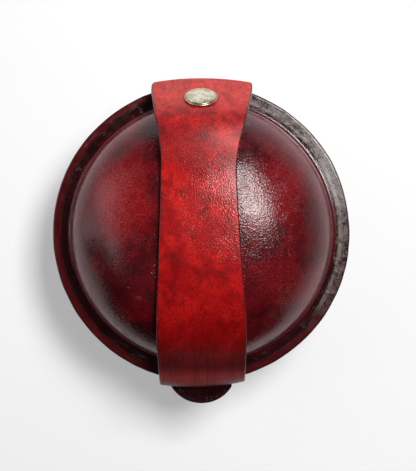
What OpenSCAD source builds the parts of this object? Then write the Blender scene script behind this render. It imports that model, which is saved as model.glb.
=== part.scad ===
// Round clamshell collar box: two wet-moulded leather domes meet at their
// flanges, hinged at the front by glued tabs, and a leather strap goes round
// both and closes with a press snap on the rear slope.
// Frame: the box rests on z = 0, +Y points to the snap, X along the hinge.

/* [Shells] */
// Outer radius of the flange rings
flange_r = 70; // [66:0.5:76]
// Outer radius of each dome where it meets its flange
dome_r = 61.7; // [60:0.1:62.5]
// Height of each dome above the parting plane
dome_h = 38; // [34:0.5:42]
// Radius of the flat crown in the middle of each dome
crown_r = 18; // [15:1:22]
// Thickness of the shell leather
shell_t = 2.4; // [2:0.1:2.8]
// Thickness of the suede lining
lining_t = 0.8; // [0.5:0.1:1.2]
// Half of the gap between the two closed flanges
parting = 0.15; // [0.1:0.05:0.3]
// Radius of the moulded corner between dome and flange
foot_r = 1.8; // [1:0.1:2.5]

/* [Strap] */
// Thickness of the strap leather
strap_t = 2.4; // [2:0.1:2.8]
// Air between the strap and the shells
strap_gap = 0.3; // [0.3:0.05:0.5]
// Half width of the strap over the front half
strap_front = 19.8; // [18:0.1:21]
// Half width at the strap's waist
strap_waist = 16.2; // [14:0.1:18]
// Half width of the outer strap end
strap_end_w = 22.7; // [21:0.1:24]
// Radius of the outer end's two corners
end_corner = 1.3; // [1:0.1:3]
// Half width of the inner strap end where it rounds the rear flange
strap_wrap = 23.3; // [22:0.1:25]
// Distance of the waist behind the middle of the box
waist_y = 28; // [20:1:34]
// Distance of the outer end's edge behind the middle
tip_y = 71; // [70:0.1:71.5]

/* [Hinge] */
// Half thickness of the two glued tabs
tab_t = 1.5; // [1.2:0.1:1.8]
// Half thickness of the tabs where they bend in the slit
neck_t = 0.6; // [0.4:0.1:0.8]
// Radius of the tabs' round edge
tab_r = 16.8; // [15.5:0.1:17.5]
// Distance of that radius' centre in front of the middle
tab_y = 63.7; // [62.5:0.1:64.5]
// Half length of the slit in the strap
slit_w = 14.9; // [14:0.1:16]
// Half width of the tabs inside the slit
neck_w = 14.5; // [13:0.1:14.7]

/* [Snap] */
// Radius of the visible snap cap
cap_r = 7.65; // [7:0.05:8]
// Distance of the snap from the outer end's edge, along the slope
snap_s = 17.6; // [16:0.1:19]
// Space between the two strap ends at the snap
snap_gap = 2; // [1.8:0.1:2.2]
// Direction the snap faces, above the horizontal
snap_dir = 40.5; // [39.5:0.5:42]
// Radius of the stud's nub
nub_r = 3; // [2.8:0.1:3.1]

/* [Hidden] */
$fn = 96;
eps = 0.01;

// height of the parting plane above the table
zp = strap_t + strap_gap + dome_h;
// top of the upper flange above the parting plane
zf = parting + shell_t;
// centre and radius of the strap's bend round the flange corner
edge_r = 0.5;
corner = [flange_r - edge_r, zf - edge_r];
bend_r = edge_r + strap_gap;

// quarter section of a dome: points from the flange level to the crown
function dome(R, h, N) = [for (i = [0:N])
    [crown_r + (R - crown_r) * cos(90 * i / N), h * sin(90 * i / N)]];
// extent of points P in the direction f
function reach(P, f) = max([for (p = P) p[0] * cos(f) + p[1] * sin(f)]);
// direction in which a taut strap lies on both the dome P and the corner
function taut(P, r, lo, hi, k) = k == 0 ? (lo + hi) / 2
    : let (m = (lo + hi) / 2)
      reach(P, m) > corner[0] * cos(m) + corner[1] * sin(m) + r
        ? taut(P, r, lo, m, k - 1) : taut(P, r, m, hi, k - 1);
// those points of P beyond the one that reaches furthest along f
function beyond(P, f) = let (m = reach(P, f),
    i0 = [for (i = [0:len(P) - 1])
            if (P[i][0] * cos(f) + P[i][1] * sin(f) > m - 1e-6) i][0])
    [for (i = [i0:len(P) - 1]) P[i]];
// inner line of a taut strap from a flange corner to the crown
function slope_line(P, r, f) = concat(
    [[corner[0] + r, 0]],
    [for (i = [0:6]) [corner[0] + r * cos(f * i / 6), corner[1] + r * sin(f * i / 6)]],
    beyond(P, f));
function unit(v) = v / norm(v);
// line P moved sideways by d, to the left of its direction
function aside(P, d) = [for (i = [0:len(P) - 1])
    let (a = unit(P[min(i + 1, len(P) - 1)] - P[max(i - 1, 0)]))
    P[i] + d * [-a[1], a[0]]];
function flip(P) = [for (i = [len(P) - 1:-1:0]) P[i]];
function smooth(t) = let (s = max(0, min(1, t))) s * s * (3 - 2 * s);

curve = dome(dome_r + strap_gap, dome_h + strap_gap, 30);
f_in = taut(curve, bend_r, 10, 80, 40);
inner = slope_line(curve, bend_r, f_in);
n_in = [cos(f_in), sin(f_in)];
d_in = [-n_in[1], n_in[0]];

// The outer end is straight where the snap sits, over the inner end and the
// snap's gap. Its lie follows from its edge at tip_y, the snap's distance
// from there and the stud's height above the inner end.
n_out = [cos(snap_dir), sin(snap_dir)];
d_out = [-n_out[1], n_out[0]];
to_end = snap_gap / 2 + 0.03;
off_end = bend_r + strap_t + to_end;
along = (corner[0] + off_end * n_in[0] + (strap_t + snap_gap / 2) * n_out[0]
         - snap_s * d_out[0] - tip_y) / n_in[1];
// the snap's centre in the gap, where stud and socket meet
mid = corner + off_end * n_in + along * d_in;
// the snap's axis where it leaves the outer end's outer face
snap = mid + (strap_t + snap_gap / 2) * n_out;
// the edge of the outer end, on its outer and its inner face
tip = snap - snap_s * d_out;
tip_in = tip - strap_t * n_out;

// beyond the snap the outer end bends down on to the dome's crown
lift_a = tip_in + (snap_s + cap_r + 0.25) * d_out;
lift_y = crown_r + 5;
lift_w = acos((lift_y - crown_r) / (dome_r + strap_gap - crown_r));
lift_b = [lift_y, (dome_h + strap_gap) * sin(lift_w)];
lift_d = unit([-(dome_r + strap_gap - crown_r) * sin(lift_w), (dome_h + strap_gap) * cos(lift_w)]);
lift_k = 0.42 * norm(lift_b - lift_a);
function bezier(a, b, c, d, t) = pow(1 - t, 3) * a + 3 * pow(1 - t, 2) * t * b
    + 3 * (1 - t) * t * t * c + pow(t, 3) * d;
outer = concat([tip_in - 4 * d_out],
    [for (i = [0:14]) bezier(lift_a, lift_a + lift_k * d_out,
                             lift_b - lift_k * lift_d, lift_b, i / 14)],
    [for (p = curve) if (p[0] < lift_y - 1) p]);

// the whole upper line runs from the front flange over the crown to the rear
upper_line = concat([for (p = inner) [-p[0], p[1]]],
                    flip([for (i = [0:len(outer) - 2]) outer[i]]));
rear_line = inner;
// the lower line lies flat on the table, a little beyond the dome's crown
under_half = concat([for (p = inner) if (p[0] > crown_r + 3) p],
                    [[crown_r + 2.4, dome_h + strap_gap]]);

// half width of the strap seen from above
function half_width(y, end_w) = y < waist_y
    ? strap_waist + (strap_front - strap_waist) * smooth((waist_y - y) / (waist_y + 55))
    : strap_waist + (end_w - strap_waist) * smooth((y - waist_y) / (flange_r - waist_y));

module outline(y0, y1, end_w) {
    st = [for (i = [0:40]) y0 + (y1 - y0) * i / 40];
    polygon(concat([for (y = st) [half_width(y, end_w), y]],
                   flip([for (y = st) [-half_width(y, end_w), y]])));
}

// extrudes a side profile, drawn as (y, z), along X
module along_x(w) {
    rotate([90, 0, 90]) translate([0, 0, -w]) linear_extrude(2 * w) children();
}

module band(P, t) {
    polygon(concat(P, flip(aside(P, t))));
}

module at_parting() { translate([0, 0, zp]) children(); }

// ---- shells ----
module shell_profile() {
    foot = [for (i = [0:6]) [dome_r + foot_r - foot_r * cos(15 * i),
                             zf + foot_r - foot_r * sin(15 * i)]];
    D = dome(dome_r, dome_h, 44);
    out = [for (p = D) if (p[1] > zf + foot_r + 0.4) p];
    ins = [for (p = dome(dome_r - shell_t, dome_h - shell_t, 44)) if (p[1] > parting + 0.5) p];
    polygon(concat([[dome_r - shell_t, parting]], ins, [[0, dome_h - shell_t], [0, dome_h]],
        flip(out), foot,
        [for (i = [0:4]) [corner[0] + edge_r * cos(90 - 22.5 * i), corner[1] + edge_r * sin(90 - 22.5 * i)]],
        [[flange_r, parting]]));
}
module shell() { rotate_extrude() shell_profile(); }

module lining() {
    R = dome_r - shell_t - 0.1; h = dome_h - shell_t - 0.1;
    a = [for (p = dome(R, h, 36)) if (p[1] > parting + 0.8) p];
    b = [for (p = dome(R - lining_t, h - lining_t, 36)) if (p[1] > parting + 0.8) p];
    rotate_extrude() polygon(concat([[R, parting + 0.2]], a, [[0, h], [0, h - lining_t]],
        flip(b), [[R - lining_t, parting + 0.2]]));
}

module lower_shell() { color([0.24, 0.03, 0.05]) at_parting() mirror([0, 0, 1]) shell(); }
module upper_shell() { color([0.30, 0.04, 0.06]) at_parting() shell(); }
module lower_lining() { color([0.55, 0.38, 0.30]) at_parting() mirror([0, 0, 1]) lining(); }
module upper_lining() { color([0.55, 0.38, 0.30]) at_parting() lining(); }

// ---- glued hinge tabs ----
module tab() {
    // the round tab outside the strap
    intersection() {
        translate([0, -tab_y, 0.03]) cylinder(r = tab_r, h = tab_t - 0.03);
        translate([-30, -flange_r - 30, -5]) cube([60, 27.3, 10]);
    }
    // the skived neck inside the slit
    translate([-neck_w, -flange_r - 2.8, 0.03]) cube([2 * neck_w, 2.5, neck_t - 0.03]);
}
module upper_tab() { color([0.20, 0.03, 0.04]) at_parting() tab(); }
module lower_tab() { color([0.20, 0.03, 0.04]) at_parting() mirror([0, 0, 1]) tab(); }

// ---- strap ----
fold_z = 6.5;
swing_z = 6.9;
join_y = 45;

// keeps what lies above height z on the front slope
module above_front(z) {
    translate([-60, -90, z]) cube([120, 180, 90]);
}

// half strap loop over one shell, seen as a solid that still needs its outline
module front_and_crown() { along_x(30) band(upper_line, strap_t); }

module strap_over() {
    color([0.60, 0.07, 0.09]) at_parting() intersection() {
        front_and_crown();
        translate([0, 0, -5]) linear_extrude(80) outline(-74, join_y - 0.2, strap_end_w);
        above_front(swing_z);
    }
}

module end_outline() {
    intersection() {
        outline(join_y + 0.2, tip_y + 1, strap_end_w);
        // gently convex edge with small rounded corners
        translate([0, tip_y - 130]) circle(r = 130);
        union() {
            translate([-strap_end_w + end_corner, 0]) square([2 * (strap_end_w - end_corner), 90]);
            translate([-40, 0]) square([80, tip_y - 1.75 - end_corner]);
            for (s = [-1, 1]) translate([s * (strap_end_w - end_corner), tip_y - 1.75 - end_corner]) circle(r = end_corner);
        }
    }
}

// frames on the snap's centre, facing out of the outer and the inner end
module on_socket() {
    at_parting() translate([0, mid[0], mid[1]]) rotate([snap_dir - 90, 0, 0]) children();
}
module on_stud() {
    at_parting() translate([0, mid[0], mid[1]]) rotate([f_in - 90, 0, 0]) children();
}

module strap_outer_end() {
    color([0.62, 0.09, 0.11]) difference() {
        at_parting() intersection() {
            front_and_crown();
            translate([0, 0, 1]) linear_extrude(60) end_outline();
        }
        on_socket() cylinder(r = 2.5, h = 6);
    }
}

// the strap under the lower shell, from the front slope to the rear flange
module strap_under() {
    L = concat([for (p = under_half) [-p[0], p[1]]], flip(under_half));
    color([0.50, 0.05, 0.07]) at_parting() mirror([0, 0, 1]) intersection() {
        along_x(30) band(L, strap_t);
        translate([0, 0, -5]) linear_extrude(80) outline(-74, 74, strap_wrap);
        union() {
            translate([-60, -90, fold_z + 0.3]) cube([120, 100, 60]);
            translate([-60, 0, parting + 0.05]) cube([120, 90, 60]);
        }
    }
}

// the strap's fold round the front flanges, with the slit for the tabs
module strap_fold() {
    L = concat([for (i = [len(inner) - 1:-1:1]) [-inner[i][0], inner[i][1]]],
               [for (i = [1:len(inner) - 1]) [-inner[i][0], -inner[i][1]]]);
    color([0.42, 0.04, 0.06]) at_parting() difference() {
        intersection() {
            along_x(strap_front - 0.3) band(L, -strap_t);
            translate([-40, -90, -fold_z]) cube([80, 60, 2 * fold_z]);
        }
        translate([-slit_w, -90, -tab_t - 0.2]) cube([2 * slit_w, 60, 2 * tab_t + 0.4]);
    }
}

// the strap's inner end, up the rear slope under the outer end
module strap_inner_end() {
    reach_y = 26;
    top = flange_r + bend_r - edge_r + strap_t;
    st = [for (i = [0:24]) i / 24];
    color([0.40, 0.05, 0.06]) difference() {
        at_parting() intersection() {
            along_x(30) band(rear_line, -strap_t);
            translate([0, 0, -5]) linear_extrude(80) polygon(concat(
                [for (s = st) [strap_wrap * pow(1 - pow(s, 2.5), 0.5), top - s * reach_y]],
                flip([for (s = st) [-strap_wrap * pow(1 - pow(s, 2.5), 0.5), top - s * reach_y]])));
            translate([-60, 20, parting + 0.35]) cube([120, 90, 60]);
        }
        on_stud() translate([0, 0, -8]) cylinder(r = 1.9, h = 8);
        on_stud() translate([0, 0, -8]) cylinder(r = 5.2, h = 8 - to_end - strap_t + 0.55);
    }
}

// ---- snap, each part drawn from the snap's centre, axis up ----
module snap_cap() {
    f = strap_t + 1;
    color([0.80, 0.77, 0.64]) on_socket() rotate_extrude() polygon(concat(
        [[0, 0.6], [2.4, 0.6], [2.4, f + 0.05], [cap_r - 0.35, f + 0.05], [cap_r, f + 0.35],
         [cap_r, f + 0.75], [cap_r - 0.3, f + 1.05]],
        [for (i = [1:10]) [(cap_r - 0.6) * cos(9 * i), f + 1.15 + 1.05 * sin(9 * i)]]));
}

module snap_socket() {
    color([0.72, 0.70, 0.60]) on_socket() rotate_extrude() polygon([
        [2.45, 0.95], [6.2, 0.95], [6.2, 0.65], [5.6, 0.5], [5.6, -0.25], [nub_r + 0.08, -0.25],
        [nub_r + 0.08, 0.55], [2.45, 0.55]]);
}

module snap_stud() {
    color([0.72, 0.70, 0.60]) on_stud() rotate_extrude() polygon([
        [1.85, 0.03 - to_end], [5.3, 0.03 - to_end], [5.3, 0.3 - to_end], [nub_r, 0.4 - to_end],
        [nub_r, 0.2], [nub_r - 0.3, 0.45], [0, 0.45], [0, 0], [1.85, 0]]);
}

module snap_post() {
    b = to_end + strap_t;
    color([0.70, 0.68, 0.58]) on_stud() rotate_extrude() polygon([
        [0, 0.1 - b], [4.6, 0.1 - b], [5.0, 0.25 - b], [5.0, 0.5 - b], [1.8, 0.5 - b], [1.8, -0.05], [0, -0.05]]);
}

lower_shell();
lower_lining();
strap_under();
strap_fold();
strap_inner_end();
snap_stud();
snap_post();
upper_shell();
upper_lining();
upper_tab();
lower_tab();
strap_over();
strap_outer_end();
snap_cap();
snap_socket();
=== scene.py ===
import math

import bpy
import numpy as np
from mathutils import Matrix, Vector


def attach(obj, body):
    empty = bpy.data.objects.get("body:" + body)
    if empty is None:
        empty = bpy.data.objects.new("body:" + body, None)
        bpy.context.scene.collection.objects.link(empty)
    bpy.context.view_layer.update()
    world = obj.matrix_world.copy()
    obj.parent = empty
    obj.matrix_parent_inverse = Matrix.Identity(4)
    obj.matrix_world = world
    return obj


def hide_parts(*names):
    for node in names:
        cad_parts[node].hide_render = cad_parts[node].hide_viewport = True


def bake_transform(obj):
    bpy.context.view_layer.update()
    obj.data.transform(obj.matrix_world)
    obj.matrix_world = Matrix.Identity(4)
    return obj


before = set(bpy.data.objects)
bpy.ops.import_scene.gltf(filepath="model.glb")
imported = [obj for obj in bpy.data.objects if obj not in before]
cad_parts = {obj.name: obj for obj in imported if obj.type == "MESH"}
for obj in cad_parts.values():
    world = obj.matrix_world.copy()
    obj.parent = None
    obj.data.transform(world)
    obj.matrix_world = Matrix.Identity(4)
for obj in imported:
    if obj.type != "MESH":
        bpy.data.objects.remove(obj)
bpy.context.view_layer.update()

# --------------------------------------------------------------------------
# Sizes in millimetres, the same as the frame's construction.
# y runs to the rear, z' is the height above the parting plane.
# --------------------------------------------------------------------------
FLANGE_R, DOME_R, DOME_H, CROWN_R = 70.0, 61.7, 38.0, 18.0
SHELL_T, LINING_T, PARTING, FOOT_R = 2.4, 0.8, 0.15, 1.45
STRAP_T, GAP, EDGE_R = 2.4, 0.3, 0.5
ZP = STRAP_T + GAP + DOME_H
ZF = PARTING + SHELL_T
CORNER = np.array([FLANGE_R - EDGE_R, ZF - EDGE_R])
BEND_R = EDGE_R + GAP
CAP_R, SNAP_S, SNAP_GAP, SNAP_DIR, NUB_R = 7.65, 17.6, 2.0, 40.5, 3.0
TIP_Y, REACH_Y = 71.0, 26.0
MM = 0.001


def smooth(t):
    t = np.clip(t, 0.0, 1.0)
    return t * t * (3 - 2 * t)


def ease(x, a, b):
    """0 at a, 1 at b, smooth between them; a may be above b."""
    return smooth((np.asarray(x, float) - a) / (b - a))


def unit(v):
    v = np.asarray(v, float)
    return v / np.linalg.norm(v)


def waves(points, size, seed, count=26):
    """Smooth pseudo-random relief of about unit height, from plane waves of about that size in millimetres."""
    rng = np.random.default_rng(seed)
    d = rng.normal(size=(count, points.shape[1]))
    d /= np.linalg.norm(d, axis=1)[:, None]
    k = 2 * math.pi / (size * rng.uniform(0.75, 1.7, count))
    phase = rng.uniform(0, 2 * math.pi, count)
    return np.cos(points @ (d * k[:, None]).T + phase).sum(1) * math.sqrt(2.0 / count) * 0.6


# --------------------------------------------------------------------------
# Meshes
# --------------------------------------------------------------------------
def new_mesh(name, verts, faces, attributes=None, sharp_faces=None, sharp_angle=None):
    """A mesh object from millimetre points. attributes are per point, {name: (type, array)}."""
    me = bpy.data.meshes.new(name)
    me.from_pydata((np.asarray(verts, float) * MM).tolist(), [], [list(map(int, f)) for f in faces])
    me.validate(clean_customdata=False)
    for key, (kind, data) in (attributes or {}).items():
        a = me.attributes.new(key, kind, "POINT")
        a.data.foreach_set("vector" if kind == "FLOAT_VECTOR" else "value", np.asarray(data, np.float32).ravel())
    me.polygons.foreach_set("use_smooth", np.ones(len(me.polygons), bool))
    if sharp_faces is not None:
        flags = np.zeros(len(me.edges), bool)
        vs = np.empty(len(me.edges) * 2, np.int32)
        me.edges.foreach_get("vertices", vs)
        vs = np.sort(vs.reshape(-1, 2), axis=1)
        count = {}
        for f in sharp_faces:
            f = [int(i) for i in f]
            for a, b in zip(f, f[1:] + f[:1]):
                k = (min(a, b), max(a, b))
                count[k] = count.get(k, 0) + 1
        border = {k for k, n in count.items() if n == 1}
        for i, (a, b) in enumerate(vs.tolist()):
            if (a, b) in border:
                flags[i] = True
        at = me.attributes.new("sharp_edge", "BOOLEAN", "EDGE")
        at.data.foreach_set("value", flags)
    ob = bpy.data.objects.new(name, me)
    bpy.context.scene.collection.objects.link(ob)
    if sharp_angle is not None:
        me.set_sharp_from_angle(angle=math.radians(sharp_angle))
    return ob


def revolve(name, profile, count, place=None, move=None, attributes=None, sharp_angle=None):
    """Solid of revolution. profile is an open line of (r, h) from axis to axis, or a closed one that never meets the axis.
    move(points, r, h, angle) may displace the points, and place(points) puts them in the frame."""
    profile = np.asarray(profile, float)
    closed = profile[0, 0] > 1e-6
    rows = profile if closed else profile[1:-1]
    n = len(rows)
    ang = np.arange(count) * 2 * math.pi / count
    r = np.repeat(rows[:, 0], count)
    h = np.repeat(rows[:, 1], count)
    a = np.tile(ang, n)
    idx = np.repeat(np.arange(n), count)
    pts = np.c_[r * np.cos(a), r * np.sin(a), h]
    faces = []
    for i in range(n if closed else n - 1):
        j = (i + 1) % n
        for k in range(count):
            m = (k + 1) % count
            faces.append((i * count + k, i * count + m, j * count + m, j * count + k))
    if not closed:
        first, last = len(pts), len(pts) + 1
        pts = np.vstack([pts, [0, 0, profile[0, 1]], [0, 0, profile[-1, 1]]])
        r, h, a = np.r_[r, 0, 0], np.r_[h, profile[0, 1], profile[-1, 1]], np.r_[a, 0, 0]
        idx = np.r_[idx, 0, n - 1]
        for k in range(count):
            m = (k + 1) % count
            faces.append((first, m, k))
            faces.append((last, (n - 1) * count + k, (n - 1) * count + m))
    rest = pts.copy()
    if move is not None:
        pts = move(pts, r, h, a)
    if place is not None:
        pts = place(pts)
    extra = {} if attributes is None else attributes(rest, r, h, a, idx)
    ob = new_mesh(name, pts, faces, extra, sharp_angle=sharp_angle)
    outward(ob)
    return ob


def outward(ob):
    """Turns all faces of a closed mesh outwards."""
    me = ob.data
    co = np.empty(len(me.vertices) * 3)
    me.vertices.foreach_get("co", co)
    co = co.reshape(-1, 3)
    me.calc_loop_triangles()
    tri = np.empty(len(me.loop_triangles) * 3, np.int32)
    me.loop_triangles.foreach_get("vertices", tri)
    t = co[tri.reshape(-1, 3)]
    if np.einsum("ij,ij->i", t[:, 0], np.cross(t[:, 1], t[:, 2])).sum() < 0:
        me.flip_normals()
    me.update()


# --------------------------------------------------------------------------
# The strap's line, seen from the side: (y, z') on its box-facing side
# --------------------------------------------------------------------------
def dome(R, h, N):
    a = np.radians(90.0 * np.arange(N + 1) / N)
    return np.c_[CROWN_R + (R - CROWN_R) * np.cos(a), h * np.sin(a)]


def round_height(r, R, h):
    """Height of the moulded dome: fully round, at most about a millimetre inside the construction's."""
    return h * np.sqrt(np.maximum(1 - (np.clip(np.asarray(r, float), 0, R) / R) ** 2.8, 0))


def round_dome(R, h, N):
    a = np.radians(90.0 * np.arange(N + 1) / N)
    r = R * np.cos(a) ** 0.8
    return np.c_[r, round_height(r, R, h)]


def taut(P, r):
    lo, hi = 10.0, 80.0
    for _ in range(44):
        m = (lo + hi) / 2
        f = np.array([math.cos(math.radians(m)), math.sin(math.radians(m))])
        if (P @ f).max() > CORNER @ f + r:
            hi = m
        else:
            lo = m
    return (lo + hi) / 2


CURVE = dome(DOME_R + GAP, DOME_H + GAP, 900)
F_IN = taut(CURVE, BEND_R)
N_IN = np.array([math.cos(math.radians(F_IN)), math.sin(math.radians(F_IN))])
D_IN = np.array([-N_IN[1], N_IN[0]])
N_OUT = np.array([math.cos(math.radians(SNAP_DIR)), math.sin(math.radians(SNAP_DIR))])
D_OUT = np.array([-N_OUT[1], N_OUT[0]])
TO_END = SNAP_GAP / 2 + 0.03
OFF_END = BEND_R + STRAP_T + TO_END
ALONG = (CORNER[0] + OFF_END * N_IN[0] + (STRAP_T + SNAP_GAP / 2) * N_OUT[0] - SNAP_S * D_OUT[0] - TIP_Y) / N_IN[1]
MID = CORNER + OFF_END * N_IN + ALONG * D_IN
SNAP = MID + (STRAP_T + SNAP_GAP / 2) * N_OUT
TIP = SNAP - SNAP_S * D_OUT
TIP_IN = TIP - STRAP_T * N_OUT


ROUND_CURVE = round_dome(DOME_R + GAP, DOME_H + GAP, 900)


def cubic(a, b, c, d, n):
    t = np.linspace(0, 1, n + 1)[:, None]
    return (1 - t) ** 3 * a + 3 * (1 - t) ** 2 * t * b + 3 * (1 - t) * t * t * c + t ** 3 * d


def straight(a, b, n):
    t = np.linspace(0, 1, n + 1)[:, None]
    return (1 - t) * np.asarray(a) + t * np.asarray(b)


def outer_line():
    """From the outer end's edge up the rear slope on to the crown."""
    lift_a = TIP_IN + (SNAP_S + CAP_R + 0.25) * D_OUT
    i = int(np.nonzero(ROUND_CURVE[:, 0] < 20.0)[0][0])
    lift_b = ROUND_CURVE[i]
    lift_d = unit(ROUND_CURVE[i + 2] - ROUND_CURVE[i - 2])
    k = 0.40 * np.linalg.norm(lift_b - lift_a)
    bend = cubic(lift_a, lift_a + k * D_OUT, lift_b - k * lift_d, lift_b, 300)
    return np.vstack([straight(TIP_IN, lift_a, 200)[:-1], bend, ROUND_CURVE[i + 1:]])


def slope_line(bow):
    """From the flange's side up to the crown: rounder where it may bow, else taut round the corner."""
    i = int(np.argmax(CURVE @ N_IN))
    if bow:
        f = math.radians(taut(ROUND_CURVE, BEND_R) + 3.0)
        n = np.array([math.cos(f), math.sin(f)])
        j = int(np.argmax(ROUND_CURVE @ n))
        touch = ROUND_CURVE[j]
        d = np.array([n[1], -n[0]])
        side = np.array([CORNER[0] + BEND_R, 0.6])
        c = cubic(side, side + np.array([0, 8.6]), touch + 12.5 * d, touch, 300)
        return np.vstack([[[side[0], 0.0]], c, ROUND_CURVE[j + 1:]])
    a = np.radians(np.linspace(0, F_IN, 60))
    arc = CORNER + BEND_R * np.c_[np.cos(a), np.sin(a)]
    return np.vstack([[[CORNER[0] + BEND_R, 0.0]], arc[:-1], straight(arc[-1], CURVE[i], 200), CURVE[i + 1:]])


BOWED, TAUT = slope_line(True), slope_line(False)
FLIP = np.array([1.0, -1.0])
UNDER = np.vstack([BOWED[BOWED[:, 1] < 14.0], CURVE[CURVE[:, 1] > 26.0]])
LINE = np.vstack([
    outer_line(), BOWED[::-1][1:] * [-1, 1], UNDER[1:] * [-1, -1],
    straight([-CROWN_R, -DOME_H - GAP], [CROWN_R, -DOME_H - GAP], 150)[1:-1],
    TAUT[::-1] * [1, -1], TAUT[1:][TAUT[1:, 0] > 40.0]])


class Path:
    """Arc length s (mm) along the strap's middle line, with its point and outward normal."""

    def __init__(self, line, t):
        seg = np.linalg.norm(np.diff(line, axis=0), axis=1)
        line = line[np.r_[True, seg > 1e-6]]
        s = np.r_[0, np.cumsum(np.linalg.norm(np.diff(line, axis=0), axis=1))]
        q = np.arange(0, s[-1], 0.1)
        p = np.c_[np.interp(q, s, line[:, 0]), np.interp(q, s, line[:, 1])]
        d = np.gradient(p, axis=0)
        d /= np.linalg.norm(d, axis=1)[:, None]
        kernel = np.hanning(13)[1:-1]
        kernel /= kernel.sum()
        d = np.c_[tuple(np.convolve(np.pad(d[:, i], 5, "edge"), kernel, "valid") for i in (0, 1))]
        d /= np.linalg.norm(d, axis=1)[:, None]
        n = np.c_[d[:, 1], -d[:, 0]]
        m = p + t / 2 * n
        self.s = np.r_[0, np.cumsum(np.linalg.norm(np.diff(m, axis=0), axis=1))]
        self.m, self.n, self.length = m, n, self.s[-1]

    def at(self, s):
        m = np.stack([np.interp(s, self.s, self.m[:, i]) for i in (0, 1)], -1)
        n = np.stack([np.interp(s, self.s, self.n[:, i]) for i in (0, 1)], -1)
        return m, n / np.linalg.norm(n, axis=-1, keepdims=True)

    def where(self, test, first=True):
        """s of the first or last sample that passes."""
        hits = np.nonzero(test(self.m[:, 0], self.m[:, 1]))[0]
        return float(self.s[hits[0] if first else hits[-1]])


PATH = Path(LINE, STRAP_T)
S_FRONT = PATH.where(lambda y, z: (y < -60) & (z < 0))          # the fold's middle
S_REAR = PATH.where(lambda y, z: (y > 60) & (z > -0.001) & (PATH.s > S_FRONT))   # the rear flange's middle
S_BLEND = PATH.where(lambda y, z: (y < 0) & (z < 17.5) & (PATH.s < S_FRONT))
S_FOLD_A = PATH.where(lambda y, z: (y < 0) & (z < 6.8) & (PATH.s < S_FRONT))
S_FOLD_B = PATH.where(lambda y, z: (y < 0) & (z < -6.8) & (PATH.s > S_FRONT))
S_TIP = PATH.where(lambda y, z: (y < 46.6) & (z > 0) & (PATH.s > S_REAR))
S_WRAP = PATH.where(lambda y, z: (y > 60) & (z > -3.2) & (PATH.s > S_FRONT))


def half_width(y, end_w):
    y = np.asarray(y, float)
    front = 16.2 + 3.6 * smooth((28 - y) / 83)
    rear = 16.2 + (end_w - 16.2) * smooth((y - 28) / 42)
    return np.where(y < 28, front, rear)


def centre_x(s):
    """The strap is cut and laid by hand: its middle wanders a little."""
    y = PATH.at(s)[0][..., 0]
    over = np.interp(y, [-72, -62, -35, -5, 12, 26, 40, 55, 71], [0.45, 0.4, 0.1, -0.35, -0.7, -0.85, -0.35, 0.1, 0.55])
    under = np.interp(y, [-72, -40, 0, 40, 72], [0.45, 0.1, -0.3, 0.1, 0.0])
    return np.where(s < S_FRONT, over, under)


def strap_width(s):
    y = PATH.at(s)[0][..., 0]
    return np.where(s < S_FRONT, half_width(y, 22.7), half_width(y, 23.2)) + 0.12 * np.sin(s / 9.0) * 0.6


def middle(s, x):
    """The strap's middle surface in millimetres, row frame, before thickness."""
    m, n = PATH.at(s)
    y, z = m[..., 0], m[..., 1]
    front = (y < 0) * ease(np.abs(z), 18, 4)
    rear = (y > 0) * (s > S_FRONT) * ease(z, 26, 6) * ease(z, -18, -4)
    inward = front * (2.0 * (x / 20) ** 2 + 0.75 * (x / 20)) - rear * (2.5 * (x / 22) ** 2)
    # the edges sink a little towards the dome between crown and flange
    over = (s < S_FRONT)
    drop = round_height(np.abs(y), DOME_R, DOME_H) - round_height(np.hypot(x, np.abs(y)), DOME_R, DOME_H)
    sink = over * np.minimum(drop, 2.2) * 0.80 * ease(np.abs(y), 60, 40) * n[..., 1] * (x != 0) \
        + over * (x / 18.0) ** 2 * (0.30 * ease(y, 30, 50) + 0.35 * ease(y, -40, -55) * ease(np.abs(z), 6, 14))
    soft = 0.10 * waves(np.stack([np.asarray(s, float) + 0 * x, x + 0 * s], -1).reshape(-1, 2), 24, 5).reshape(np.shape(s + x))
    off = -sink + soft * (s < S_FRONT) + 0.05 * soft
    return np.stack([x + 0 * s, y + inward + n[..., 0] * off, z + n[..., 1] * off + ZP], -1)


def middle_frame(s, x):
    d = 0.08
    p = middle(s, x)
    a = middle(s + d, x) - middle(s - d, x)
    b = middle(s, x + d) - middle(s, x - d)
    n = np.cross(b, a)
    n /= np.linalg.norm(n, axis=-1, keepdims=True)
    out = PATH.at(s)[1]
    flip = np.sign(n[..., 1] * out[..., 0] + n[..., 2] * out[..., 1])
    return p, n * flip[..., None]


INSETS = np.array([0.0, 0.07, 0.18, 0.34, 0.56, 0.9, 1.5, 2.3])
ROUND = 0.72


def face_height(e, t):
    """Half thickness at distance e from a burnished edge."""
    q = np.clip(e, 0, ROUND)
    return t / 2 - (ROUND - np.sqrt(np.maximum(ROUND ** 2 - (ROUND - q) ** 2, 0))) * 0.8


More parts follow.
